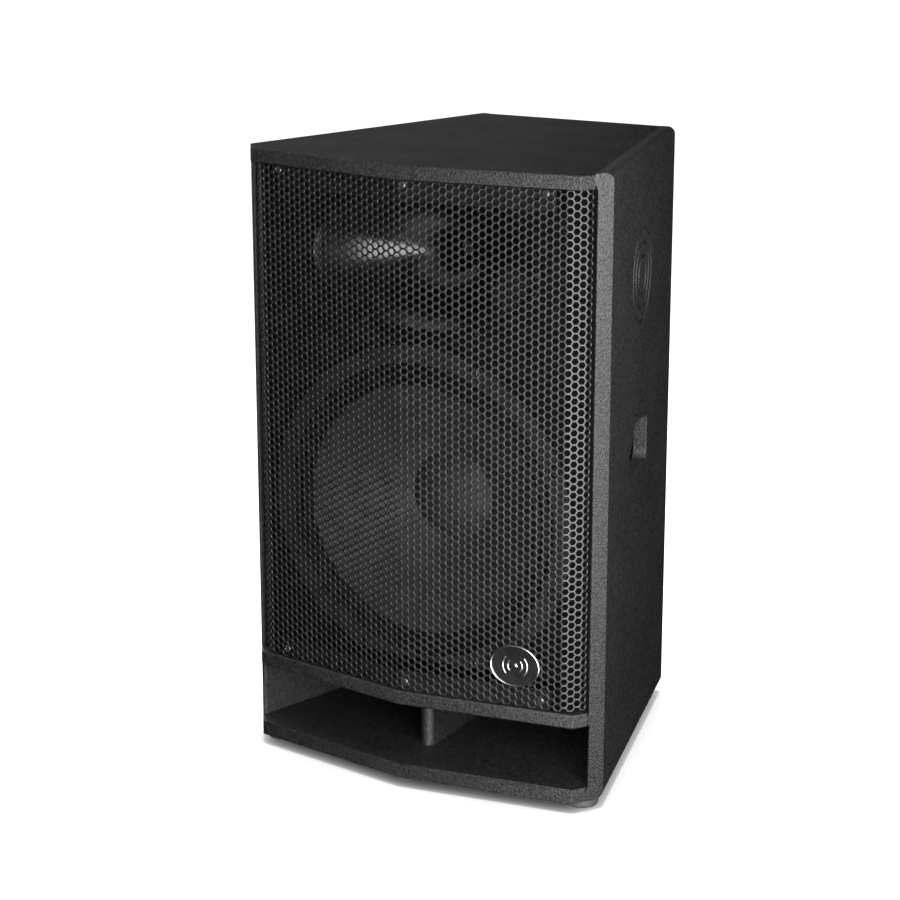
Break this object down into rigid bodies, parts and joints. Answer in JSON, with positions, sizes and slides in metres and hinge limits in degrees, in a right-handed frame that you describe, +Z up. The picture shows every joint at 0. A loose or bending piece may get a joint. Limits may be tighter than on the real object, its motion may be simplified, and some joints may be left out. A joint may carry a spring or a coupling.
{
  "type": "pa speaker cabinet",
  "caption": "Trapezoidal two-way PA speaker cabinet with a creased honeycomb grille, slot ports below and a pole socket underneath.",
  "frame": {"origin": "on the floor under the middle of the cabinet's bounding box", "axes": "+X to the right as seen from the front, +Y to the back, +Z up"},
  "size_m": [0.462, 0.427, 0.722],
  "materials": {
    "textured_paint": "coarse textured black paint",
    "bare_plywood": "raw",
    "baffle_paint": "matt black paint",
    "grille_steel": "satin black powder coat",
    "zinc_screw": "zinc plated",
    "black_screw": "black oxide",
    "bright_rim": "polished",
    "badge_gloss": "gloss",
    "cast_frame": "satin",
    "paper_cone": "matt pressed pulp",
    "treated_cloth": "doped cloth",
    "spider_cloth": "impregnated cloth",
    "coil_former": "copper winding",
    "ferrite": "sintered",
    "plated_steel": "zinc plated",
    "horn_plastic": "satin moulded",
    "black_plastic": "moulded, fine grain",
    "light_plastic": "moulded",
    "socket_blue": "moulded",
    "foam_gasket": "closed-cell foam",
    "foot_rubber": "matt",
    "titanium": "satin foil",
    "circuit_board": "solder mask",
    "copper_wire": "enamelled",
    "film_yellow": "film wrap",
    "white_ceramic": "matt",
    "red_cable": "satin",
    "damping_felt": "polyester wadding"
  },
  "bodies": {
    "cabinet": {"left_side_panel": "textured_paint", "right_side_panel": "textured_paint", "top_panel": "textured_paint", "bottom_panel": "textured_paint", "back_panel": "textured_paint", "front_baffle": "baffle_paint", "port_shelf": "textured_paint", "port_divider": "textured_paint", "window_brace": "bare_plywood", "top_grille_cleat": "baffle_paint", "bottom_grille_cleat": "baffle_paint", "grille": "grille_steel", "grille_screws": "black_screw", "badge_plate": "badge_gloss", "badge_rim": "bright_rim", "woofer_frame": "cast_frame", "woofer_gasket": "foam_gasket", "woofer_surround": "treated_cloth", "woofer_spider": "spider_cloth", "woofer_top_plate": "plated_steel", "woofer_magnet": "ferrite", "woofer_back_plate": "plated_steel", "woofer_terminals": "black_plastic", "woofer_screws": "black_screw", "horn": "horn_plastic", "horn_screws": "black_screw", "tweeter_front_plate": "plated_steel", "tweeter_magnet": "ferrite", "tweeter_back_plate": "plated_steel", "tweeter_phase_plug": "plated_steel", "tweeter_suspension": "titanium", "tweeter_rear_cover": "black_plastic", "tweeter_bolts": "black_screw", "crossover_board": "circuit_board", "crossover_standoffs": "zinc_screw", "crossover_inductors": "copper_wire", "crossover_capacitors": "film_yellow", "crossover_resistors": "white_ceramic", "wiring_loom": "red_cable", "side_damping_pads": "damping_felt", "back_damping_pad": "damping_felt", "connector_dish": "black_plastic", "connector_gasket": "foam_gasket", "left_speaker_socket": "socket_blue", "right_speaker_socket": "socket_blue", "mode_switch_body": "black_plastic", "connector_screws": "black_screw", "left_handle_cup": "black_plastic", "right_handle_cup": "black_plastic", "handle_screws": "zinc_screw", "pole_socket": "cast_frame", "pole_socket_screws": "zinc_screw", "feet": "foot_rubber", "foot_screws": "zinc_screw"},
    "woofer_moving_parts": {"woofer_cone": "paper_cone", "woofer_dust_cap": "paper_cone", "woofer_voice_coil": "coil_former"},
    "tweeter_moving_parts": {"tweeter_diaphragm": "titanium"},
    "mode_switch": {"mode_switch_slider": "light_plastic"}
  },
  "joints": [
    {"name": "woofer_cone_travel", "type": "slide", "parent": "cabinet", "child": "woofer_moving_parts", "axis": [0, -1, 0], "range_m": [-0.006, 0.006], "stiffness_N_per_m": 6000, "deforming": ["woofer_surround", "woofer_spider"]},
    {"name": "tweeter_diaphragm_travel", "type": "slide", "parent": "cabinet", "child": "tweeter_moving_parts", "axis": [0, -1, 0], "range_m": [-0.0003, 0.0003], "stiffness_N_per_m": 20000, "deforming": ["tweeter_suspension"]},
    {"name": "mode_switch_slide", "type": "slide", "parent": "cabinet", "child": "mode_switch", "axis": [1, 0, 0], "range_m": [0, 0.006]}
  ]
}
